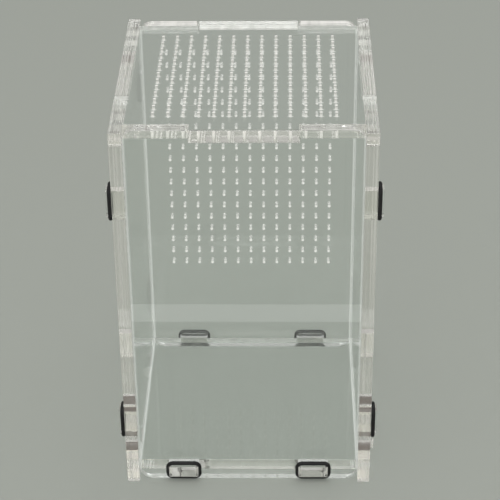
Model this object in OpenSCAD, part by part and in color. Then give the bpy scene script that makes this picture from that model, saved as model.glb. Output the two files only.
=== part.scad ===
// Clear acrylic keeper for spiders and insects.
//
// Six flat sheets slot together: two sides, a front, a back, a floor and a lid.
// Tabs pass through slots in the next sheet. A rubber ring stretched round the
// neck of a tab keeps it there, and only the floor's side tabs go without one.
// The lid has no rings either. It drops between the fingers of the four walls
// and lifts straight off.
//
// Every sheet is drawn flat, as it is cut, and then stood in its place.
// X runs to the right, Y to the back and Z up. The origin is on the ground, at
// the middle of the footprint.

/* [Case] */
// Width over the two side sheets
case_w = 100; // [85:1:160]
// Depth of the side sheets
case_d = 104; // [90:1:160]
// Height from the ground to the top of the lid
case_h = 162; // [155:1:240]
// Thickness of every sheet
sheet_t = 5; // [4:0.5:6]
// How far the side sheets run past the front and the back
side_lip = 2.2; // [1:0.1:4]
// Height of the floor sheet above the ground
floor_lift = 2.5; // [2:0.1:10]
// Radius of the outer corners of the front and the back
wall_corner_r = 4.5; // [1:0.5:8]

/* [Lid joint] */
// Width of the lid's front and back tabs
lid_tab_w = 41; // [20:1:60]
// Width of the finger in the middle of each side sheet
side_finger_w = 40.6; // [20:0.2:60]
// Gap between the lid and the fingers beside it
lid_gap = 0.2; // [0.1:0.05:0.4]
// Gap under the lid where it rests on the walls
lid_seat_gap = 0.05; // [0:0.05:0.2]
// Radius of the lead-in at each side of the lid's tabs
lead_in_r = 1; // [0.5:0.1:2]

/* [Tabs] */
// Width of each tab
tab_w = 12.2; // [11:0.1:16]
// How far a tab stands out of its slot
tab_out = 2.4; // [2.3:0.1:4]
// Width of the neck that the ring sits round
neck_w = 9.8; // [7:0.1:11.4]
// Chamfer on the tab's two end corners
tab_chamfer = 0.5; // [0.2:0.1:0.9]
// Gap round a tab in its slot
slot_gap = 0.1; // [0.05:0.05:0.3]
// Height of the middle of the lower wall tabs
lower_tab_z = 28.7; // [20:0.1:60]
// Height of the middle of the upper wall tabs
upper_tab_z = 131; // [80:1:145]
// Distance from the middle of each edge to the floor's tabs
floor_tab_offset = 26.7; // [15:0.1:34]

/* [Rings] */
// Thickness of the rubber cord
ring_cord = 1.7; // [1:0.1:1.8]
// Inner radius of a stretched ring's corners
ring_corner_r = 1.2; // [0.8:0.1:2]
// Gap between a ring and the flat faces of the neck
ring_slack = 0.1; // [0.05:0.05:0.3]

/* [Vents] */
// Diameter of each vent hole
vent_d = 1.1; // [0.6:0.1:3]
// Spacing of the vent holes
vent_pitch = 5.75; // [4:0.05:6]
// Holes across the lid and the back
vent_cols = 13; // [1:1:13]
// Rows of holes from front to back of the lid
lid_rows = 13; // [1:1:13]
// Rows of holes down the back
back_rows = 18; // [1:1:20]
// Distance from the lid's underside to the top row on the back
vent_top_margin = 10.9; // [6:0.1:20]

/* [Hidden] */

round_fn = 48;
hole_fn = 24;
// How far shapes run into each other where they join or cut.
lap = 1;
// The straights of a ring run this far into its corners, and their radius is
// this much less, so that they join inside the corners.
ring_lap = 0.05;
ring_step = 0.01;

// The room inside, wall to wall.
room_w = case_w - 2 * sheet_t;
room_d = case_d - 2 * (side_lip + sheet_t);
// Top of the walls' shoulders, which the lid rests on.
shoulder_z = case_h - sheet_t - lid_seat_gap;
// Middle of the front and back sheets' thickness, and of the floor's.
wall_y = room_d / 2 + sheet_t / 2;
floor_mid_z = floor_lift + sheet_t / 2;

// A ring bows out round the neck and touches it only along its four long edges.
ring_in_t = sheet_t / 2 + ring_slack;
ring_in_w = neck_w / 2 + ring_corner_r
          - sqrt(pow(ring_corner_r, 2) - pow(ring_corner_r - ring_slack, 2));

acrylic = [0.86, 0.93, 0.90, 0.35];
rubber = [0.06, 0.06, 0.07];

// ---------------------------------------------------------------- flat shapes

// A plain tab, from the edge of its own sheet at x = 0 out through a slot.
module plain_tab() {
    reach = sheet_t + tab_out;
    polygon([
        [-lap, -tab_w / 2],
        [reach - tab_chamfer, -tab_w / 2],
        [reach, -tab_w / 2 + tab_chamfer],
        [reach, tab_w / 2 - tab_chamfer],
        [reach - tab_chamfer, tab_w / 2],
        [-lap, tab_w / 2]
    ]);
}

// A tab cut away to a neck where it leaves the slot, to take a ring.
module ring_tab() {
    difference() {
        plain_tab();
        for (side = [0, 1]) mirror([0, side])
            translate([sheet_t, neck_w / 2]) square([ring_cord, tab_w]);
    }
}

// The slot that a tab passes through, long side along Y.
module slot_profile() {
    square([sheet_t + 2 * slot_gap, tab_w + 2 * slot_gap], center = true);
}

// What is cut from a square corner at the origin, with the sheet to the right of
// it and below, to leave a radius.
module corner_cut(r) {
    difference() {
        translate([-lap, -r]) square(r + lap);
        translate([r, -r]) circle(r, $fn = round_fn);
    }
}

// Vent holes centred on the origin.
module vent_grid(cols, rows) {
    for (i = [0:cols - 1], j = [0:rows - 1])
        translate([(i - (cols - 1) / 2) * vent_pitch, (j - (rows - 1) / 2) * vent_pitch])
            circle(d = vent_d, $fn = hole_fn);
}

// ------------------------------------------------------------ sheets, as cut

// A side sheet, drawn with its depth along X and its height along Y.
module side_sheet() {
    difference() {
        union() {
            translate([-case_d / 2, 0]) square([case_d, shoulder_z]);
            translate([-side_finger_w / 2, 0]) square([side_finger_w, case_h]);
        }
        for (side = [-1, 1]) {
            for (z = [lower_tab_z, upper_tab_z])
                translate([side * wall_y, z]) slot_profile();
            translate([side * floor_tab_offset, floor_mid_z]) rotate(90) slot_profile();
        }
    }
}

// The front or back sheet, drawn with its width along X and its height along Y.
module wall_sheet() {
    notch_w = lid_tab_w + 2 * lid_gap;
    difference() {
        union() {
            translate([-room_w / 2, 0]) square([room_w, case_h]);
            for (side = [0, 1], z = [lower_tab_z, upper_tab_z])
                mirror([side, 0]) translate([room_w / 2, z]) ring_tab();
        }
        translate([-notch_w / 2, shoulder_z]) square([notch_w, case_h]);
        for (side = [0, 1]) mirror([side, 0]) {
            translate([notch_w / 2, case_h]) corner_cut(lead_in_r);
            translate([room_w / 2, case_h]) mirror([1, 0]) corner_cut(wall_corner_r);
            translate([room_w / 2, 0]) rotate(180) corner_cut(wall_corner_r);
            translate([floor_tab_offset, floor_mid_z]) rotate(90) slot_profile();
        }
    }
}

// The floor sheet, seen from above.
module floor_sheet() {
    square([room_w, room_d], center = true);
    for (turn = [0, 180], side = [-1, 1]) rotate(turn) {
        translate([side * floor_tab_offset, room_d / 2]) rotate(90) ring_tab();
        translate([room_w / 2, side * floor_tab_offset]) plain_tab();
    }
}

// The lid sheet, seen from above: a plate that drops between the fingers, two
// tabs that reach to the front and back faces, and four corner prongs that lie
// on the shoulders of the side sheets.
module lid_sheet() {
    plate_w = room_w - 2 * lid_gap;
    plate_d = room_d - 2 * lid_gap;
    prong_w = sheet_t - lid_gap;
    prong_start = side_finger_w / 2 + lid_gap;
    difference() {
        union() {
            square([plate_w, plate_d], center = true);
            square([lid_tab_w, room_d + 2 * sheet_t], center = true);
            for (x = [0, 1], y = [0, 1]) mirror([x, 0]) mirror([0, y]) {
                translate([plate_w / 2 - lap, prong_start])
                    square([case_w / 2 - plate_w / 2 + lap, plate_d / 2 - prong_start]);
                translate([case_w / 2 - prong_w, prong_start])
                    square([prong_w, case_d / 2 - prong_start]);
            }
        }
        vent_grid(vent_cols, lid_rows);
    }
}

// -------------------------------------------------------------------- pieces

module side_panel(side) {
    color(acrylic)
        translate([side * (case_w - sheet_t) / 2 - sheet_t / 2, 0, 0])
            rotate([90, 0, 90]) linear_extrude(sheet_t) side_sheet();
}

module wall_panel(side) {
    color(acrylic)
        translate([0, side * wall_y + sheet_t / 2, 0])
            rotate([90, 0, 0]) linear_extrude(sheet_t) children();
}

module front_panel() wall_panel(-1) wall_sheet();

module back_panel() wall_panel(1) difference() {
    wall_sheet();
    translate([0, case_h - sheet_t - vent_top_margin - (back_rows - 1) / 2 * vent_pitch])
        vent_grid(vent_cols, back_rows);
}

module floor_panel() color(acrylic) translate([0, 0, floor_lift])
    linear_extrude(sheet_t) floor_sheet();

module lid() color(acrylic) translate([0, 0, case_h - sheet_t])
    linear_extrude(sheet_t) lid_sheet();

// A stretched ring in the plane of X and Y, long side along Y.
module ring() {
    path_r = ring_corner_r + ring_cord / 2;
    straight_x = ring_in_t - ring_corner_r;
    straight_y = ring_in_w - ring_corner_r;
    straight_r = ring_cord / 2 - ring_step;
    color(rubber) {
        for (i = [0:3])
            translate([(i == 0 || i == 3 ? 1 : -1) * straight_x, (i < 2 ? 1 : -1) * straight_y])
                rotate(90 * i) rotate_extrude(angle = 90, $fn = round_fn)
                    translate([path_r, 0]) circle(d = ring_cord, $fn = hole_fn);
        for (side = [-1, 1]) {
            translate([side * (straight_x + path_r), 0, 0]) rotate([90, 0, 0])
                cylinder(h = 2 * (straight_y + ring_lap), r = straight_r, center = true, $fn = hole_fn);
            translate([0, side * (straight_y + path_r), 0]) rotate([0, 90, 0])
                cylinder(h = 2 * (straight_x + ring_lap), r = straight_r, center = true, $fn = hole_fn);
        }
    }
}

// A ring on a tab of the front (-1) or back (1) sheet, at its left or right end.
module wall_ring(wall, side, z) {
    translate([side * (case_w / 2 + ring_cord / 2), wall * wall_y, z])
        rotate([90, 0, 90]) ring();
}

// A ring on a front (-1) or back (1) tab of the floor.
module floor_ring(wall, side) {
    translate([side * floor_tab_offset, wall * (room_d / 2 + sheet_t + ring_cord / 2), floor_mid_z])
        rotate([90, 90, 0]) ring();
}

side_panel(-1);  // left_side
side_panel(1);  // right_side
front_panel();
back_panel();
floor_panel();
lid();
wall_ring(-1, -1, upper_tab_z);  // ring_front_left_upper
wall_ring(-1, -1, lower_tab_z);  // ring_front_left_lower
wall_ring(-1, 1, upper_tab_z);  // ring_front_right_upper
wall_ring(-1, 1, lower_tab_z);  // ring_front_right_lower
wall_ring(1, -1, upper_tab_z);  // ring_back_left_upper
wall_ring(1, -1, lower_tab_z);  // ring_back_left_lower
wall_ring(1, 1, upper_tab_z);  // ring_back_right_upper
wall_ring(1, 1, lower_tab_z);  // ring_back_right_lower
floor_ring(-1, -1);  // ring_floor_front_left
floor_ring(-1, 1);  // ring_floor_front_right
floor_ring(1, -1);  // ring_floor_back_left
floor_ring(1, 1);  // ring_floor_back_right
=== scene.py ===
"""Looks, studio and camera for a clear acrylic keeper for spiders and insects.

Six laser-cut sheets slot together, and rubber rings stretched round the necks of
their tabs hold them. Every length is in metres, in the frame of the case: X to
the right, Y to the back, Z up, with the origin on the ground under the middle.
"""

import logging
import math
from dataclasses import dataclass, field
from enum import Enum

import bpy
from mathutils import Matrix, Vector


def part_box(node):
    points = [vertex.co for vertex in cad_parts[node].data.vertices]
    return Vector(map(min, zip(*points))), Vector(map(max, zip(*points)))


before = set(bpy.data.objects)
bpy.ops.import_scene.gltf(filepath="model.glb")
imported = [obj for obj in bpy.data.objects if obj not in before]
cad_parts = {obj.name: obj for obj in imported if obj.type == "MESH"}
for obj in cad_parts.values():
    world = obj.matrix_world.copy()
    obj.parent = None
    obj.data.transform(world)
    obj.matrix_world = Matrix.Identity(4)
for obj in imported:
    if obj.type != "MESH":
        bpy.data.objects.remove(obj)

LOG = logging.getLogger("keeper")
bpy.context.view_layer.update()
MM = 0.001
CLEAR_BOUNCES = 96
SHADOW_LAYERS = 64


class Axis(Enum):
    """A row axis, and the place that it has in a vector."""

    X = 0
    Y = 1
    Z = 2


# ------------------------------------------------------------------ node trees


class Tree:
    """A small writer for a node tree."""

    def __init__(self, tree: bpy.types.NodeTree) -> None:
        """Clears a tree and keeps it.

        Args:
            tree: The tree of a material, a world or a modifier.
        """
        self.tree = tree
        self.tree.nodes.clear()

    def add(self, kind: str, family: str = "ShaderNode", **settings: object) -> bpy.types.Node:
        """Adds a node and sets its properties.

        Args:
            kind: The node's type name, without its family.
            family: What the type name starts with.
            **settings: Properties of the node by name.

        Returns:
            The new node.
        """
        node = self.tree.nodes.new(family + kind)
        for name, value in settings.items():
            setattr(node, name, value)
        return node

    def feed(self, node: bpy.types.Node, socket: int | str, value: object) -> None:
        """Links an output to a socket, or sets the socket's own value.

        Args:
            node: The node that has the socket.
            socket: The socket's index or name.
            value: An output socket, a number, or a list of numbers.
        """
        if isinstance(value, bpy.types.NodeSocket):
            self.tree.links.new(value, node.inputs[socket])
        else:
            node.inputs[socket].default_value = value

    def math(self, operation: str, *values: object, clamp: bool = False) -> bpy.types.NodeSocket:
        """Adds a Math node.

        Args:
            operation: The node's operation.
            *values: Its inputs, each an output socket or a number.
            clamp: Whether the result is kept from 0 to 1.

        Returns:
            The node's output.
        """
        node = self.add("Math", operation=operation, use_clamp=clamp)
        for place, value in enumerate(values):
            self.feed(node, place, value)
        return node.outputs[0]

    def ramp(
        self, value: object, low: float, high: float, out_low: object = 0.0, out_high: object = 1.0
    ) -> bpy.types.NodeSocket:
        """Maps a range of values smoothly onto another.

        Args:
            value: The output socket or number to map.
            low: Where the result starts to leave out_low.
            high: Where the result reaches out_high.
            out_low: The result at low and under it.
            out_high: The result at high and over it.

        Returns:
            The node's output.
        """
        node = self.add("MapRange", interpolation_type="SMOOTHSTEP")
        for place, number in enumerate((value, low, high, out_low, out_high)):
            self.feed(node, place, number)
        return node.outputs[0]

    def mix(self, factor: object, low: object, high: object) -> bpy.types.NodeSocket:
        """Mixes two numbers.

        Args:
            factor: How much of high shows, from 0 to 1.
            low: The result at 0.
            high: The result at 1.

        Returns:
            The node's output.
        """
        node = self.add("Mix", data_type="FLOAT")
        for place, value in enumerate((factor, low, high)):
            self.feed(node, ("Factor", "A", "B")[place], value)
        return node.outputs["Result"]

    def tint(self, factor: object, low: list[float], high: list[float]) -> bpy.types.NodeSocket:
        """Mixes two colours.

        Args:
            factor: How much of high shows, from 0 to 1.
            low: The RGBA colour at 0.
            high: The RGBA colour at 1.

        Returns:
            The node's output.
        """
        node = self.add("Mix", data_type="RGBA")
        self.feed(node, 0, factor)
        self.feed(node, 6, low)
        self.feed(node, 7, high)
        return node.outputs[2]

    def noise(
        self,
        place: object,
        scale: float,
        detail: float = 2.0,
        stretch: tuple[float, float, float] = (1, 1, 1),
    ) -> bpy.types.NodeSocket:
        """Adds noise with one lump about 1 / scale metres across.

        Args:
            place: The coordinates' output.
            scale: Lumps per metre.
            detail: Octaves of finer noise.
            stretch: How many times denser the noise is along each axis.

        Returns:
            The noise value's output.
        """
        mapping = self.add("Mapping")
        self.feed(mapping, "Vector", place)
        self.feed(mapping, "Scale", stretch)
        node = self.add("TexNoise")
        self.feed(node, "Vector", mapping.outputs[0])
        self.feed(node, "Scale", scale)
        self.feed(node, "Detail", detail)
        return node.outputs[0]

    def bump(self, height: object, distance: float, strength: float = 1.0) -> bpy.types.NodeSocket:
        """Turns a height into a normal.

        Args:
            height: The height's output, where 1 stands for distance.
            distance: How far 1 raises the surface, in metres.
            strength: How much of the bump shows.

        Returns:
            The normal's output.
        """
        node = self.add("Bump")
        self.feed(node, "Strength", strength)
        self.feed(node, "Distance", distance)
        self.feed(node, "Height", height)
        return node.outputs[0]


# -------------------------------------------------------------------- finishes


def own_tree(owner: bpy.types.Material | bpy.types.World) -> Tree:
    """Gives a material or world an empty tree.

    Args:
        owner: The material or world.

    Returns:
        The writer of its tree.
    """
    owner.use_nodes = True
    return Tree(owner.node_tree)


@dataclass(frozen=True)
class SlotWalls:
    """Where a slot is, so that painted shade can darken its floor and roof.

    The block is mirrored from right to left. The dark brown tint and haze there
    are painted shade, where the ring and the tab darken the slot.
    """

    at: tuple[float, float, float]
    half: tuple[float, float, float]
    # How strong the painted shade is, and the dark brown that it tints with.
    strength: float = 1.0
    tint: tuple[float, float, float] = (0.13, 0.105, 0.09)
    least_level: float = 0.7

    def mask(
        self, t: Tree, where: bpy.types.Node, level: bpy.types.NodeSocket
    ) -> bpy.types.NodeSocket:
        """Finds the slot's floor and roof.

        Args:
            t: The material's tree.
            where: The node that gives the place along each axis.
            level: The output that is 1 on surfaces that lie level.

        Returns:
            An output that is the painted shade's strength on those walls, and 0 elsewhere.
        """
        flat = t.math("GREATER_THAN", level, self.least_level)
        inside: object = t.math("MULTIPLY", flat, self.strength)
        for axis in Axis:
            along = where.outputs[axis.value]
            if axis is Axis.X:
                along = t.math("ABSOLUTE", along)
            off = t.math("ABSOLUTE", t.math("SUBTRACT", along, self.at[axis.value]))
            inside = t.math("MULTIPLY", inside, t.math("LESS_THAN", off, self.half[axis.value]))
        return inside


@dataclass(frozen=True)
class VentField:
    """A grid of drilled vent holes, with frosted walls and a raised lip round each.

    Where the glints' haze is above 0, two fine milky points run out sideways from
    each hole on the far face: a painted glint, where light catches the melted lip.
    """

    rows: Axis
    row_at: float
    span: tuple[float, float]
    near: float
    far: float
    pitch: float = 5.75 * MM
    half_width: float = 36 * MM
    lip_inside: float = 0.58 * MM
    lip_outside: float = 0.85 * MM
    lip_haze: float = 0.7
    # The walls' haze at the near and far faces: frosted walls, with painted shade where the far
    # haze is lower, so the far end of each hole shows dimmer.
    near_haze: float = 1.0
    far_haze: float = 0.95
    roughness: float = 0.7
    # Painted glints beside the holes: their haze, shape and reach.
    glint_haze: float = 0.0
    glint_shape: tuple[float, float] = (0.28, 1.35)
    glint_reach: tuple[float, float] = (0.29 * MM, 0.43 * MM)

    def mask(self, t: Tree, where: bpy.types.Node) -> bpy.types.NodeSocket:
        """Finds the field.

        Args:
            t: The material's tree.
            where: The node that gives the place along each axis.

        Returns:
            An output that is 1 inside the field.
        """
        along = where.outputs[self.rows.value]
        inside = t.math("LESS_THAN", t.math("ABSOLUTE", where.outputs[0]), self.half_width)
        above = t.math("GREATER_THAN", along, self.span[0])
        below = t.math("LESS_THAN", along, self.span[1])
        return t.math("MULTIPLY", inside, t.math("MULTIPLY", above, below))

    def lip(self, t: Tree, where: bpy.types.Node) -> bpy.types.NodeSocket:
        """Draws the lip that melts up round each hole.

        Args:
            t: The material's tree.
            where: The node that gives the place along each axis.

        Returns:
            A height that is 1 at the holes' rims and 0 away from them.
        """
        radius = self.reach(t, where, (1.0, 1.0))
        return t.ramp(radius, self.lip_inside, self.lip_outside, 1.0, 0.0)

    def glint_points(
        self, t: Tree, where: bpy.types.Node, deep: bpy.types.NodeSocket
    ) -> bpy.types.NodeSocket:
        """Draws the painted glints beside each hole on the far face, as fine milky points.

        Args:
            t: The material's tree.
            where: The node that gives the place along each axis.
            deep: The output that gives the place through the sheet.

        Returns:
            The haze of the points, 0 elsewhere.
        """
        beyond = t.ramp(deep, self.far, (self.near + self.far) / 2, 1.0, 0.0)
        reach = self.reach(t, where, self.glint_shape)
        points = t.ramp(reach, *self.glint_reach, self.glint_haze, 0.0)
        return t.math("MULTIPLY", beyond, points)

    def reach(
        self, t: Tree, where: bpy.types.Node, shape: tuple[float, float]
    ) -> bpy.types.NodeSocket:
        """Measures how far a place is from the nearest hole.

        Args:
            t: The material's tree.
            where: The node that gives the place along each axis.
            shape: How much a distance counts along X and along the rows' axis.

        Returns:
            The distance, in metres where both count 1.
        """
        squares = []
        grid = ((Axis.X, 0.0, shape[0]), (self.rows, self.row_at, shape[1]))
        for axis, start, weight in grid:
            from_start = t.math("SUBTRACT", where.outputs[axis.value], start)
            steps = t.math("DIVIDE", from_start, self.pitch)
            part = t.math("SUBTRACT", steps, t.math("ROUND", steps))
            off = t.math("MULTIPLY", part, self.pitch * weight)
            squares.append(t.math("MULTIPLY", off, off))
        return t.math("SQRT", t.math("ADD", *squares))


@dataclass
class Layers:
    """What a sheet's material gathers, each an output socket or a plain value."""

    # Haze and colour also carry the painted shade in the slots.
    haze: object
    frost: object
    colour: object
    # Milky haze on the faces: the vents' melt lips, with painted highlights beside the side walls
    # and painted glints beside the vents.
    rim: object
    height: object


@dataclass(frozen=True)
class CutAcrylic:
    """Cast acrylic sheet: polished faces, and edges frosted by the laser.

    The through axis tells faces from cut edges, so one material dresses a whole
    sheet. The haze of an edge is given for each axis, on either side of a middle:
    the laser's frost, with painted light on it, so that edges on one side, such as
    those that face up, show whiter than those on the other. Streaks run along the
    edges, and fine striations run across them. Where a sheet meets a side wall, a
    narrow milky line along its faces is a painted highlight of the lit joint.
    A name that ends in "_from" holds the range of a noise or of a slope. The pair
    after it, where there is one, holds what that range turns into.
    """

    name: str
    through: Axis
    edge_frost_and_painted_light: tuple[tuple[float, float], tuple[float, float], tuple[float, float]]
    middle: tuple[float, float, float] = (0.0, 0.0, 81 * MM)
    slots: tuple[SlotWalls, ...] = ()
    vents: VentField | None = None
    seam_at: float | None = None
    seam_width: float = 0.5 * MM
    seam_fade: float = 1.3
    # How milky the painted highlight beside each side wall is.
    seam_highlight_haze: float = 0.42
    ior: float = 1.49
    tint: tuple[float, float, float] = (0.975, 0.992, 0.982)
    edge_tint: tuple[float, float, float] = (0.97, 0.958, 0.93)
    shadow_tint: tuple[float, float, float] = (0.965, 0.97, 0.967)
    face_from: tuple[float, float] = (0.8, 0.95)
    smudge_density: float = 38.0
    smudge_from: tuple[float, float] = (0.48, 0.78)
    smudge_roughness: tuple[float, float] = (0.0, 0.02)
    melt_density: float = 260.0
    melt_stretch: float = 0.1
    frost_from: tuple[float, float] = (0.3, 0.7)
    edge_roughness: tuple[float, float] = (0.035, 0.055)
    bend_from: tuple[float, float] = (0.0, 0.4)
    bend_haze: tuple[float, float] = (1.0, 0.3)
    streak_pitch: float = 0.55 * MM
    streak_stretch: float = 0.004
    streak_from: tuple[float, float] = (0.32, 0.72)
    streak_haze: tuple[float, float] = (0.5, 1.6)
    blotch_from: tuple[float, float] = (0.3, 0.75)
    blotch_haze: tuple[float, float] = (0.8, 1.2)
    # Painted shade in the slots: its haze, blotches and roughness.
    slot_shade_haze: float = 0.9
    slot_shade_from: tuple[float, float] = (0.25, 0.8)
    slot_shade_blotch: tuple[float, float] = (0.8, 1.3)
    slot_shade_roughness: float = 0.3
    striation_pitch: float = 0.8 * MM
    striation_stretch: float = 0.06
    striation_height: float = 0.6
    relief_depth: float = 0.001 * MM
    lip_height: float = 0.004 * MM

    def make(self) -> bpy.types.Material:
        """Builds the material.

        Returns:
            The acrylic for sheets that lie across the through axis.
        """
        material = bpy.data.materials.new(self.name)
        t = own_tree(material)
        place = t.add("TexCoord").outputs["Object"]
        where = t.add("SeparateXYZ")
        t.feed(where, 0, place)
        normal = t.add("SeparateXYZ")
        t.feed(normal, 0, t.add("NewGeometry").outputs["True Normal"])
        facing = [t.math("ABSOLUTE", normal.outputs[axis.value]) for axis in Axis]
        edge = t.ramp(facing[self.through.value], *self.face_from, 1.0, 0.0)
        along_edge = self.stretch(1.0, self.streak_stretch)
        streaks = t.noise(place, 1 / self.streak_pitch, 2.0, along_edge)
        smudges = t.noise(place, self.smudge_density, 4.0)
        polish = t.ramp(smudges, *self.smudge_from, *self.smudge_roughness)
        melt = t.noise(place, self.melt_density, 2.0, self.stretch(self.melt_stretch, 1.0))

        layers = Layers(
            haze=self.cut_haze(t, where, facing, streaks, melt),
            frost=t.ramp(melt, *self.frost_from, *self.edge_roughness),
            colour=[*self.edge_tint, 1],
            rim=0.0,
            height=self.relief(t, place, edge, streaks),
        )
        # Painted shade on the floors and roofs of the slots.
        self.add_painted_slot_shade(t, layers, where, facing[Axis.Z.value], melt)
        # A painted highlight along the faces beside each side wall.
        if self.seam_at:
            layers.rim = self.seam_highlight(t, where.outputs[0])
        if self.vents:
            self.add_vents(t, layers, where, edge)
        t.feed(t.add("OutputMaterial"), "Surface", self.surface(t, layers, edge, polish))
        return material

    def cut_haze(
        self,
        t: Tree,
        where: bpy.types.Node,
        facing: list[bpy.types.NodeSocket],
        streaks: bpy.types.NodeSocket,
        melt: bpy.types.NodeSocket,
    ) -> bpy.types.NodeSocket:
        """Works out how milky the cut edges are: the laser's frost, with painted light
        that makes one side of each axis whiter than the other.

        Args:
            t: The material's tree.
            where: The node that gives the place along each axis.
            facing: How squarely a surface faces each axis, as outputs.
            streaks: The streaks' output.
            melt: The melt noise's output.

        Returns:
            The haze's output, which means something on edges only.
        """
        haze: object = 0.0
        # Painted light: each axis has its own haze on either side of the middle, whiter on the lit
        # side.
        for axis in Axis:
            low, high = self.edge_frost_and_painted_light[axis.value]
            along = where.outputs[axis.value]
            beyond = t.math("GREATER_THAN", along, self.middle[axis.value])
            haze = t.math("MULTIPLY_ADD", facing[axis.value], t.mix(beyond, low, high), haze)
        across = (facing[axis.value] for axis in Axis if axis is not self.through)
        bent = t.math("MULTIPLY", *across)
        haze = t.math("MULTIPLY", haze, t.ramp(bent, *self.bend_from, *self.bend_haze))
        haze = t.math("MULTIPLY", haze, t.ramp(streaks, *self.streak_from, *self.streak_haze))
        blotches = t.ramp(melt, *self.blotch_from, *self.blotch_haze)
        return t.math("MULTIPLY", haze, blotches, clamp=True)

    def add_painted_slot_shade(
        self,
        t: Tree,
        layers: Layers,
        where: bpy.types.Node,
        level: bpy.types.NodeSocket,
        melt: bpy.types.NodeSocket,
    ) -> None:
        """Paints shade on the floors and roofs of the slots, as a dark brownish haze.

        Args:
            t: The material's tree.
            layers: What the material has so far.
            where: The node that gives the place along each axis.
            level: The output that is 1 on surfaces that lie level.
            melt: The melt noise's output.
        """
        for slot in self.slots:
            inside = slot.mask(t, where, level)
            blotches = t.ramp(melt, *self.slot_shade_from, *self.slot_shade_blotch)
            layers.haze = t.mix(inside, layers.haze, t.math("MULTIPLY", self.slot_shade_haze, blotches))
            layers.frost = t.mix(inside, layers.frost, self.slot_shade_roughness)
            layers.colour = t.tint(inside, layers.colour, [*slot.tint, 1])

    def seam_highlight(self, t: Tree, along: bpy.types.NodeSocket) -> bpy.types.NodeSocket:
        """Draws the painted highlight beside each side wall, a narrow milky line on the faces.

        Args:
            t: The material's tree.
            along: The output that gives the place along X.

        Returns:
            The line's haze, 0 elsewhere.
        """
        across = t.math("ABSOLUTE", along)
        starts = self.seam_at - self.seam_fade * self.seam_width
        rim = t.ramp(across, starts, self.seam_at - self.seam_width, 0.0, self.seam_highlight_haze)
        return t.math("MULTIPLY", rim, t.math("LESS_THAN", across, self.seam_at))

    def add_vents(
        self, t: Tree, layers: Layers, where: bpy.types.Node, edge: bpy.types.NodeSocket
    ) -> None:
        """Frosts the walls of the vent holes, raises their lips and paints glints beside them.

        Args:
            t: The material's tree.
            layers: What the material has so far.
            where: The node that gives the place along each axis.
            edge: The output that is 1 on cut edges.
        """
        vents = self.vents
        inside = vents.mask(t, where)
        deep = where.outputs[self.through.value]
        # Frosted walls; a lower far haze is painted shade toward the far face.
        milky = t.ramp(deep, vents.near, vents.far, vents.near_haze, vents.far_haze)
        layers.haze = t.mix(inside, layers.haze, milky)
        layers.frost = t.mix(inside, layers.frost, vents.roughness)
        on_face = t.math("SUBTRACT", inside, edge, clamp=True)
        lip = t.math("MULTIPLY", vents.lip(t, where), on_face)
        layers.rim = t.math("MULTIPLY_ADD", lip, vents.lip_haze, layers.rim)
        # Painted glints: fine milky points beside each hole on the far face.
        if vents.glint_haze:
            points = t.math("MULTIPLY", vents.glint_points(t, where, deep), on_face)
            layers.rim = t.math("MAXIMUM", layers.rim, points)
        raised = self.lip_height / self.relief_depth
        layers.height = t.math("MULTIPLY_ADD", lip, raised, layers.height)

    def surface(
        self, t: Tree, layers: Layers, edge: bpy.types.NodeSocket, polish: bpy.types.NodeSocket
    ) -> bpy.types.NodeSocket:
        """Joins the layers into a shader that lets shadow and diffuse rays through.

        Args:
            t: The material's tree.
            layers: All that the material has.
            edge: The output that is 1 on cut edges.
            polish: The faces' roughness.

        Returns:
            The shader's output.
        """
        shader = t.add("BsdfPrincipled")
        milky = t.mix(edge, layers.rim, layers.haze)
        t.feed(shader, "Base Color", t.tint(edge, [*self.tint, 1], layers.colour))
        t.feed(shader, "Roughness", t.mix(edge, polish, layers.frost))
        t.feed(shader, "IOR", self.ior)
        t.feed(shader, "Transmission Weight", t.math("SUBTRACT", 1.0, milky))
        t.feed(shader, "Normal", t.bump(layers.height, self.relief_depth))

        clear = t.add("BsdfTransparent")
        t.feed(clear, "Color", [*self.shadow_tint, 1])
        path = t.add("LightPath")
        passes = t.math("MAXIMUM", path.outputs["Is Shadow Ray"], path.outputs["Is Diffuse Ray"])
        mixed = t.add("MixShader")
        t.feed(mixed, 0, passes)
        t.feed(mixed, 1, shader.outputs[0])
        t.feed(mixed, 2, clear.outputs[0])
        return mixed.outputs[0]

    def stretch(self, through: float, along: float) -> tuple[float, float, float]:
        """Lists how dense a noise is along each axis.

        Args:
            through: Its density through the sheet.
            along: Its density along the sheet.

        Returns:
            The density along X, Y and Z.
        """
        return tuple(through if axis is self.through else along for axis in Axis)

    def relief(
        self,
        t: Tree,
        place: bpy.types.NodeSocket,
        edge: bpy.types.NodeSocket,
        streaks: bpy.types.NodeSocket,
    ) -> bpy.types.NodeSocket:
        """Raises the streaks and the laser's striations on the edges.

        Args:
            t: The material's tree.
            place: The object coordinates' output.
            edge: The output that is 1 on cut edges.
            streaks: The streaks' output.

        Returns:
            The height's output.
        """
        across_edge = self.stretch(self.striation_stretch, 1.0)
        striations = t.noise(place, 1 / self.striation_pitch, 2.0, across_edge)
        raised = t.math("MULTIPLY", striations, self.striation_height)
        return t.math("MULTIPLY", t.math("ADD", raised, streaks), edge)


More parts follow.
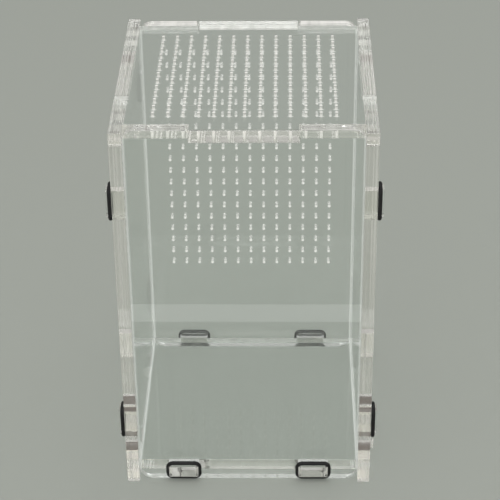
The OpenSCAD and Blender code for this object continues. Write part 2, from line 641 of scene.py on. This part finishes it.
@dataclass(frozen=True)
class RingRubber:
    """Black rubber cord with a fine parting line round its outside."""

    name: str
    plane: Axis
    plane_at: float
    colour: tuple[float, float, float] = (0.006, 0.006, 0.0065)
    dusty: tuple[float, float, float] = (0.016, 0.0155, 0.015)
    dust_density: float = 900.0
    dust_from: tuple[float, float] = (0.52, 0.72)
    grain_density: float = 5200.0
    grain_from: tuple[float, float] = (0.3, 0.7)
    grain_height: float = 0.12
    roughness: tuple[float, float] = (0.46, 0.6)
    specular: float = 0.35
    line_half_width: float = 0.05 * MM
    line_core: float = 0.3
    line_height: float = 0.03 * MM

    def make(self) -> bpy.types.Material:
        """Builds the material.

        Returns:
            The rubber for rings that lie in one plane.
        """
        material = bpy.data.materials.new(self.name)
        t = own_tree(material)
        place = t.add("TexCoord").outputs["Object"]
        dust = t.ramp(t.noise(place, self.dust_density, 4.0), *self.dust_from)
        grain = t.noise(place, self.grain_density, 2.0)
        where = t.add("SeparateXYZ")
        t.feed(where, 0, place)
        out = t.math("ABSOLUTE", where.outputs[self.plane.value])
        off = t.math("ABSOLUTE", t.math("SUBTRACT", out, self.plane_at))
        core = self.line_core * self.line_half_width
        line = t.ramp(off, core, self.line_half_width, 1.0, 0.0)

        shader = t.add("BsdfPrincipled")
        t.feed(shader, "Base Color", t.tint(dust, [*self.colour, 1], [*self.dusty, 1]))
        t.feed(shader, "Roughness", t.ramp(grain, *self.grain_from, *self.roughness))
        t.feed(shader, "Specular IOR Level", self.specular)
        height = t.math("ADD", t.math("MULTIPLY", grain, self.grain_height), line)
        t.feed(shader, "Normal", t.bump(height, self.line_height))
        t.feed(t.add("OutputMaterial"), "Surface", shader.outputs[0])
        return material


@dataclass(frozen=True)
class StudioPaper:
    """Plain pale paper under and behind the case."""

    name: str = "studio_paper"
    colour: tuple[float, float, float] = (0.38, 0.402, 0.37)
    roughness: float = 0.85
    specular: float = 0.2
    fibre_density: float = 700.0
    fibre_height: float = 0.02 * MM
    fibre_strength: float = 0.3

    def make(self) -> bpy.types.Material:
        """Builds the material.

        Returns:
            The paper.
        """
        material = bpy.data.materials.new(self.name)
        t = own_tree(material)
        place = t.add("TexCoord").outputs["Object"]
        fibre = t.noise(place, self.fibre_density, 3.0)
        shader = t.add("BsdfPrincipled")
        t.feed(shader, "Base Color", [*self.colour, 1])
        t.feed(shader, "Roughness", self.roughness)
        t.feed(shader, "Specular IOR Level", self.specular)
        t.feed(shader, "Normal", t.bump(fibre, self.fibre_height, self.fibre_strength))
        t.feed(t.add("OutputMaterial"), "Surface", shader.outputs[0])
        return material


# ---------------------------------------------------------------------- pieces


def dress(node: bpy.types.Object, material: bpy.types.Material) -> None:
    """Puts one material in every slot of a node.

    Args:
        node: The node to dress.
        material: Its finish.
    """
    if not node.material_slots:
        node.data.materials.append(material)
    for held in node.material_slots:
        held.material = material


@dataclass(frozen=True)
class SheetForm:
    """Readies a sheet's mesh for glass: a film of air, and softened rims.

    Each flat side is drawn in by a hair and stays flat. Light then meets a film
    of air between two sheets, as it does in the real joint, and is thrown back
    inside the sheet. Rims are rounded, apart from the fine ones of vent holes.
    """

    name: str = "sheet_form"
    air: float = 0.03 * MM
    rim: float = 0.12 * MM
    least_part: float = 0.2
    least_edge: float = 0.35 * MM
    least_face: float = 0.6 * MM * MM
    square: float = 0.9999
    sharp: float = math.radians(40)
    weld: float = 0.001 * MM
    flat: float = math.radians(0.5)
    rim_segments: int = 2

    def group(self) -> bpy.types.NodeTree:
        """Builds the geometry nodes.

        Returns:
            The node group for a Nodes modifier.
        """
        group = bpy.data.node_groups.new(self.name, "GeometryNodeTree")
        for side in ("INPUT", "OUTPUT"):
            group.interface.new_socket("Geometry", in_out=side, socket_type="NodeSocketGeometry")
        t = Tree(group)
        start, end = t.add("GroupInput", "Node"), t.add("GroupOutput", "Node")
        bare = t.add("RemoveAttribute", "GeometryNode")
        t.feed(bare, "Geometry", start.outputs[0])
        t.feed(bare, "Name", "custom_normal")
        curved = t.add("SetShadeSmooth", "GeometryNode", domain="FACE")
        t.feed(curved, 0, bare.outputs[0])
        t.feed(curved, "Shade Smooth", self.curved(t))
        marked = t.add("StoreNamedAttribute", "GeometryNode", data_type="FLOAT", domain="EDGE")
        t.feed(marked, "Geometry", curved.outputs[0])
        t.feed(marked, "Name", "bevel_weight_edge")
        t.feed(marked, "Value", self.rims(t))
        moved = t.add("SetPosition", "GeometryNode")
        t.feed(moved, "Geometry", marked.outputs[0])
        t.feed(moved, "Offset", self.inward(t))
        t.feed(end, 0, moved.outputs[0])
        return group

    def curved(self, t: Tree) -> bpy.types.NodeSocket:
        """Finds the faces of curved walls, which lie along no axis or are very small.

        Args:
            t: The group's tree.

        Returns:
            An output that is true on curved walls.
        """
        parts = t.add("SeparateXYZ")
        t.feed(parts, 0, t.add("InputNormal", "GeometryNode").outputs[0])
        greatest: object = 0.0
        for axis in Axis:
            greatest = t.math("MAXIMUM", greatest, t.math("ABSOLUTE", parts.outputs[axis.value]))
        area = t.add("InputMeshFaceArea", "GeometryNode").outputs[0]
        small = t.math("LESS_THAN", area, self.least_face)
        return t.math("MAXIMUM", small, t.math("LESS_THAN", greatest, self.square))

    def rims(self, t: Tree) -> bpy.types.NodeSocket:
        """Finds the rims to round.

        Args:
            t: The group's tree.

        Returns:
            An output that is 1 on sharp edges that aren't too short.
        """
        ends = t.add("InputMeshEdgeVertices", "GeometryNode")
        length = t.add("VectorMath", operation="DISTANCE")
        t.feed(length, 0, ends.outputs["Position 1"])
        t.feed(length, 1, ends.outputs["Position 2"])
        angle = t.add("InputMeshEdgeAngle", "GeometryNode").outputs["Unsigned Angle"]
        long = t.math("GREATER_THAN", length.outputs["Value"], self.least_edge)
        return t.math("MULTIPLY", long, t.math("GREATER_THAN", angle, self.sharp))

    def inward(self, t: Tree) -> bpy.types.NodeSocket:
        """Works out how far each point moves, so that every flat side moves by the same.

        Args:
            t: The group's tree.

        Returns:
            The offset's output.
        """
        parts, offset = t.add("SeparateXYZ"), t.add("CombineXYZ")
        t.feed(parts, 0, t.add("InputNormal", "GeometryNode").outputs[0])
        for axis in Axis:
            part = parts.outputs[axis.value]
            behind = t.math("LESS_THAN", part, -self.least_part)
            sign = t.math("SUBTRACT", behind, t.math("GREATER_THAN", part, self.least_part))
            t.feed(offset, axis.value, t.math("MULTIPLY", sign, self.air))
        return offset.outputs[0]

    def apply(self, node: bpy.types.Object, group: bpy.types.NodeTree) -> None:
        """Adds the modifiers.

        Args:
            node: The sheet.
            group: The form's node group.
        """
        weld = node.modifiers.new("weld", "WELD")
        weld.merge_threshold = self.weld
        plain = node.modifiers.new("plain", "DECIMATE")
        plain.decimate_type = "DISSOLVE"
        plain.angle_limit = self.flat
        node.modifiers.new("form", "NODES").node_group = group
        rim = node.modifiers.new("rim", "BEVEL")
        rim.width = self.rim
        rim.segments = self.rim_segments
        rim.limit_method = "WEIGHT"


@dataclass
class SheetSet:
    """Sheets that lie across one axis and share a finish."""

    body: str
    nodes: tuple[str, ...]
    finish: CutAcrylic
    form: SheetForm = SheetForm()

    def build(self) -> list[bpy.types.Object]:
        """Dresses the sheets and readies their meshes.

        Returns:
            The dressed nodes.
        """
        material = self.finish.make()
        group = self.form.group()
        found = [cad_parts[name] for name in self.nodes]
        for node in found:
            dress(node, material)
            self.form.apply(node, group)
        return found


@dataclass
class RingSet:
    """Stretched rubber rings that lie in one pair of planes."""

    body: str
    nodes: tuple[str, ...]
    finish: RingRubber

    def build(self) -> list[bpy.types.Object]:
        """Dresses the rings.

        Returns:
            The dressed nodes.
        """
        material = self.finish.make()
        found = [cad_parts[name] for name in self.nodes]
        for node in found:
            dress(node, material)
            for face in node.data.polygons:
                face.use_smooth = True
        return found


@dataclass
class Keeper:
    """The whole case: its sheets, its lid and its rings.

    Shade is painted in the side sheets' slots and on the front sheet's lower tabs,
    where the rings and tabs darken them.
    Each such place is given by its middle and by half its size along each axis.
    """

    tab_z: tuple[float, float] = (28.7 * MM, 131 * MM)
    tab_edge: float = 6 * MM
    floor_tab: float = 26.7 * MM
    inside: float = 45 * MM
    slot_x: float = 47.5 * MM
    slot_y: float = 47.3 * MM
    slot_half: tuple[float, float, float] = (4 * MM, 2.75 * MM, 6.4 * MM)
    # Strength of the painted shade in the back slots.
    back_slot_shade: float = 0.2
    roof_rise: float = 6.1 * MM
    roof_half: tuple[float, float, float] = (4 * MM, 2.75 * MM, MM)
    # Strength of the painted shade on the roof of the upper slot.
    roof_slot_shade: float = 0.3
    floor_slot_z: float = 7.6 * MM
    floor_slot_shift: float = 1.6 * MM
    floor_slot_half: tuple[float, float, float] = (4 * MM, 4.8 * MM, MM)
    tab_x: float = 47.7 * MM
    tab_half: tuple[float, float, float] = (2.6 * MM, 4 * MM, MM)
    # Strength of the painted shade on the lower and upper edges of the lower tabs.
    tab_shade: tuple[float, float] = (1.0, 0.4)
    sheet_sets: list[SheetSet] = field(default_factory=list)
    ring_sets: list[RingSet] = field(default_factory=list)

    def plan(self) -> "Keeper":
        """Lists the sub-assemblies.

        Returns:
            The keeper itself.
        """
        self.sheet_sets = self.sheets()
        self.ring_sets = self.rings()
        return self

    def painted_shade_slots(self) -> tuple[SlotWalls, ...]:
        """Lists the slots of a side sheet that get painted shade.

        Returns:
            Two lower wall slots, the roof of an upper one and two floor slots.
        """
        low, high = self.tab_z
        walls = (
            SlotWalls((self.slot_x, -self.slot_y, low), self.slot_half),
            SlotWalls((self.slot_x, self.slot_y, low), self.slot_half, self.back_slot_shade),
        )
        roof_at = (self.slot_x, -self.slot_y, high + self.roof_rise)
        roof = SlotWalls(roof_at, self.roof_half, self.roof_slot_shade)
        floors = tuple(
            SlotWalls((self.slot_x, y, self.floor_slot_z), self.floor_slot_half)
            for y in (-self.floor_tab - self.floor_slot_shift, self.floor_tab)
        )
        return (*walls, roof, *floors)

    def painted_shade_tabs(self) -> tuple[SlotWalls, ...]:
        """Lists the edges of the front sheet's lower tabs that get painted shade.

        Returns:
            The lower edges, then the upper ones.
        """
        low = self.tab_z[0]
        edges = zip((low - self.tab_edge, low + self.tab_edge), self.tab_shade)
        return tuple(
            SlotWalls((self.tab_x, -self.slot_y, z), self.tab_half, strength)
            for z, strength in edges
        )

    def sheets(self) -> list[SheetSet]:
        """Gives each sheet its acrylic.

        Returns:
            The sheets of the case, then the lid.
        """
        # Each edge haze is the laser's frost with painted light: upper edges whiter than lower
        # ones, and full haze on edges against the side walls, for the light that the sheets carry
        # out there.
        side = CutAcrylic(
            "side_acrylic",
            Axis.X,
            ((0, 0), (0.03, 0.2), (0.06, 0.26)),
            slots=self.painted_shade_slots(),
            striation_height=0.12,
            blotch_haze=(0.95, 1.05),
            streak_haze=(0.2, 2.1),
        )
        front = CutAcrylic(
            "front_acrylic",
            Axis.Y,
            ((1, 1), (0, 0), (0.06, 0.3)),
            middle=(0.0, 0.0, 160 * MM),
            slots=self.painted_shade_tabs(),
            seam_at=self.inside,
            seam_highlight_haze=0.22,
        )
        back = CutAcrylic(
            "back_acrylic",
            Axis.Y,
            ((1, 1), (0, 0), (0.06, 0.78)),
            vents=VentField(
                rows=Axis.Z,
                row_at=146.1 * MM,
                span=(46 * MM, 150 * MM),
                near=45 * MM,
                far=49.8 * MM,
                far_haze=0.3,
            ),
            seam_at=self.inside,
        )
        floor = CutAcrylic(
            "floor_acrylic", Axis.Z, ((1, 1), (0.08, 0.15), (0, 0)), seam_at=self.inside
        )
        lid = CutAcrylic(
            "lid_acrylic",
            Axis.Z,
            ((0.3, 0.3), (0.12, 0.2), (0, 0)),
            vents=VentField(
                rows=Axis.Y,
                row_at=0.0,
                span=(-36 * MM, 36 * MM),
                near=162 * MM,
                far=157 * MM,
                glint_haze=1.0,
            ),
            relief_depth=0.0002 * MM,
        )
        return [
            SheetSet("case", ("left_side", "right_side"), side),
            SheetSet("case", ("front_panel",), front),
            SheetSet("case", ("back_panel",), back),
            SheetSet("case", ("floor_panel",), floor),
            SheetSet("lid", ("lid",), lid),
        ]

    def rings(self) -> list[RingSet]:
        """Gives each ring its rubber, by the plane that the ring lies in.

        Returns:
            The rings of the walls, then those of the floor.
        """
        ends, sides = ("front", "back"), ("left", "right")
        walls = tuple(
            f"ring_{wall}_{side}_{height}"
            for wall in ends
            for side in sides
            for height in ("upper", "lower")
        )
        floors = tuple(f"ring_floor_{wall}_{side}" for wall in ends for side in sides)
        upright = RingRubber("wall_ring_rubber", Axis.X, self.middle(walls[0], Axis.X))
        facing = RingRubber("floor_ring_rubber", Axis.Y, self.middle(floors[0], Axis.Y))
        return [RingSet("case", walls, upright), RingSet("case", floors, facing)]

    def middle(self, node: str, axis: Axis) -> float:
        """Measures how far a node's middle is from the origin along an axis.

        Args:
            node: The node's name.
            axis: The axis to measure along.

        Returns:
            The distance, in metres.
        """
        low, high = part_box(node)
        return abs(low[axis.value] + high[axis.value]) / 2

    def build(self) -> None:
        """Builds every sub-assembly and reports its pieces."""
        for group in [*self.sheet_sets, *self.ring_sets]:
            for piece in group.build():
                LOG.info("%s rides on %s in %s", piece.name, group.body, group.finish.name)


# ---------------------------------------------------------------------- studio


@dataclass(frozen=True)
class SoftLamp:
    """An area lamp that is aimed at a point, and may show only as a glint."""

    name: str
    at: tuple[float, float, float]
    aim: tuple[float, float, float]
    size: tuple[float, float]
    power: float
    colour: tuple[float, float, float] = (1, 1, 1)
    glint_only: bool = False

    def build(self) -> bpy.types.Object:
        """Makes the lamp.

        Returns:
            The lamp.
        """
        data = bpy.data.lights.new(self.name, "AREA")
        data.shape = "RECTANGLE"
        data.size, data.size_y = self.size
        data.energy = self.power
        data.color = self.colour
        lamp = bpy.data.objects.new(self.name, data)
        lamp.location = self.at
        lamp.rotation_mode = "QUATERNION"
        lamp.rotation_quaternion = (Vector(self.aim) - Vector(self.at)).to_track_quat("-Z", "Y")
        lamp.visible_camera = lamp.visible_transmission = not self.glint_only
        bpy.context.scene.collection.objects.link(lamp)
        return lamp


@dataclass
class Studio:
    """A paper sweep, soft lamps and a surround that pales toward the top."""

    reach: float = 3.0
    rise: float = 1.0
    bend: float = 0.9
    paper: StudioPaper = StudioPaper()
    low_surround: tuple[float, float, float] = (0.4, 0.4, 0.385)
    high_surround: tuple[float, float, float] = (0.87, 0.86, 0.84)
    low_sine: float = 0.58
    high_sine: float = 0.78
    bend_steps: int = 24
    lamps: tuple[SoftLamp, ...] = (
        SoftLamp(
            "front_bank",
            at=(-0.2, -1.9, 1.2),
            aim=(0, 0, 0.08),
            size=(4.4, 1.9),
            power=31.0,
            colour=(1.0, 0.99, 0.97),
        ),
        SoftLamp(
            "top_lamp",
            at=(0.3, 0.5, 1.6),
            aim=(0, 0, 0.1),
            size=(1.4, 0.9),
            power=3.5,
            colour=(0.96, 0.98, 1.0),
        ),
        SoftLamp(
            "foot_strip",
            at=(0, -0.17, 0.003),
            aim=(0, -0.17, 1),
            size=(1.6, 0.015),
            power=0.12,
            glint_only=True,
        ),
    )

    def build(self) -> None:
        """Makes the sweep, the lamps and the surround."""
        self.sweep()
        for lamp in self.lamps:
            lamp.build()
        self.surround()

    def surround(self) -> None:
        """Makes the air round the case: darker low down, and pale overhead."""
        world = bpy.data.worlds.new("surround")
        bpy.context.scene.world = world
        t = own_tree(world)
        way = t.add("SeparateXYZ")
        t.feed(way, 0, t.add("TexCoord").outputs["Generated"])
        height = t.ramp(way.outputs[2], self.low_sine, self.high_sine)
        air = t.add("Background")
        t.feed(air, "Color", t.tint(height, [*self.low_surround, 1], [*self.high_surround, 1]))
        t.feed(t.add("OutputWorld"), "Surface", air.outputs[0])

    def sweep(self) -> bpy.types.Object:
        """Makes the paper: flat under the case and curved up behind it.

        Returns:
            The paper.
        """
        flat_end = self.reach - self.bend
        profile = [(-self.reach, 0.0)]
        for step in range(self.bend_steps + 1):
            turn = math.pi / 2 * step / self.bend_steps
            out = flat_end + self.bend * math.sin(turn)
            profile.append((out, self.bend * (1 - math.cos(turn))))
        profile.append((self.reach, self.rise))
        points = [(side * self.reach, y, z) for y, z in profile for side in (-1, 1)]
        faces = [(2 * i, 2 * i + 1, 2 * i + 3, 2 * i + 2) for i in range(len(profile) - 1)]
        mesh = bpy.data.meshes.new("paper_sweep")
        mesh.from_pydata(points, [], faces)
        for face in mesh.polygons:
            face.use_smooth = True
        paper = bpy.data.objects.new("paper_sweep", mesh)
        bpy.context.scene.collection.objects.link(paper)
        dress(paper, self.paper.make())
        return paper


@dataclass
class Viewpoint:
    """The camera, turned by yaw, then pitched down, then rolled."""

    at: tuple[float, float, float] = (0.015348, -0.614913, 0.453553)
    yaw: float = -0.0240
    pitch: float = 0.5450
    roll: float = -0.0125
    lens: float = 124.505
    sensor: float = 36.0

    def build(self) -> bpy.types.Object:
        """Makes the camera and sets it as the scene's.

        Returns:
            The camera.
        """
        ahead = Vector(
            (
                math.sin(self.yaw) * math.cos(self.pitch),
                math.cos(self.yaw) * math.cos(self.pitch),
                -math.sin(self.pitch),
            )
        )
        level = Vector((math.cos(self.yaw), -math.sin(self.yaw), 0))
        up = level.cross(ahead)
        right = math.cos(self.roll) * level + math.sin(self.roll) * up
        top = -math.sin(self.roll) * level + math.cos(self.roll) * up
        turned = Matrix((right, top, -ahead)).transposed().to_4x4()
        data = bpy.data.cameras.new("viewpoint")
        data.sensor_width = self.sensor
        data.lens = self.lens
        camera = bpy.data.objects.new("viewpoint", data)
        camera.matrix_world = Matrix.Translation(self.at) @ turned
        bpy.context.scene.collection.objects.link(camera)
        bpy.context.scene.camera = camera
        return camera


def main() -> None:
    """Builds the camera, the keeper and the studio, in that order."""
    logging.basicConfig(level=logging.INFO, format="%(name)s: %(message)s")
    scene = bpy.context.scene
    scene.view_settings.view_transform = "Standard"
    scene.cycles.max_bounces = CLEAR_BOUNCES
    scene.cycles.transmission_bounces = CLEAR_BOUNCES
    scene.cycles.glossy_bounces = CLEAR_BOUNCES
    scene.cycles.transparent_max_bounces = SHADOW_LAYERS
    Viewpoint().build()
    Keeper().plan().build()
    Studio().build()


if __name__ == "__main__":
    main()
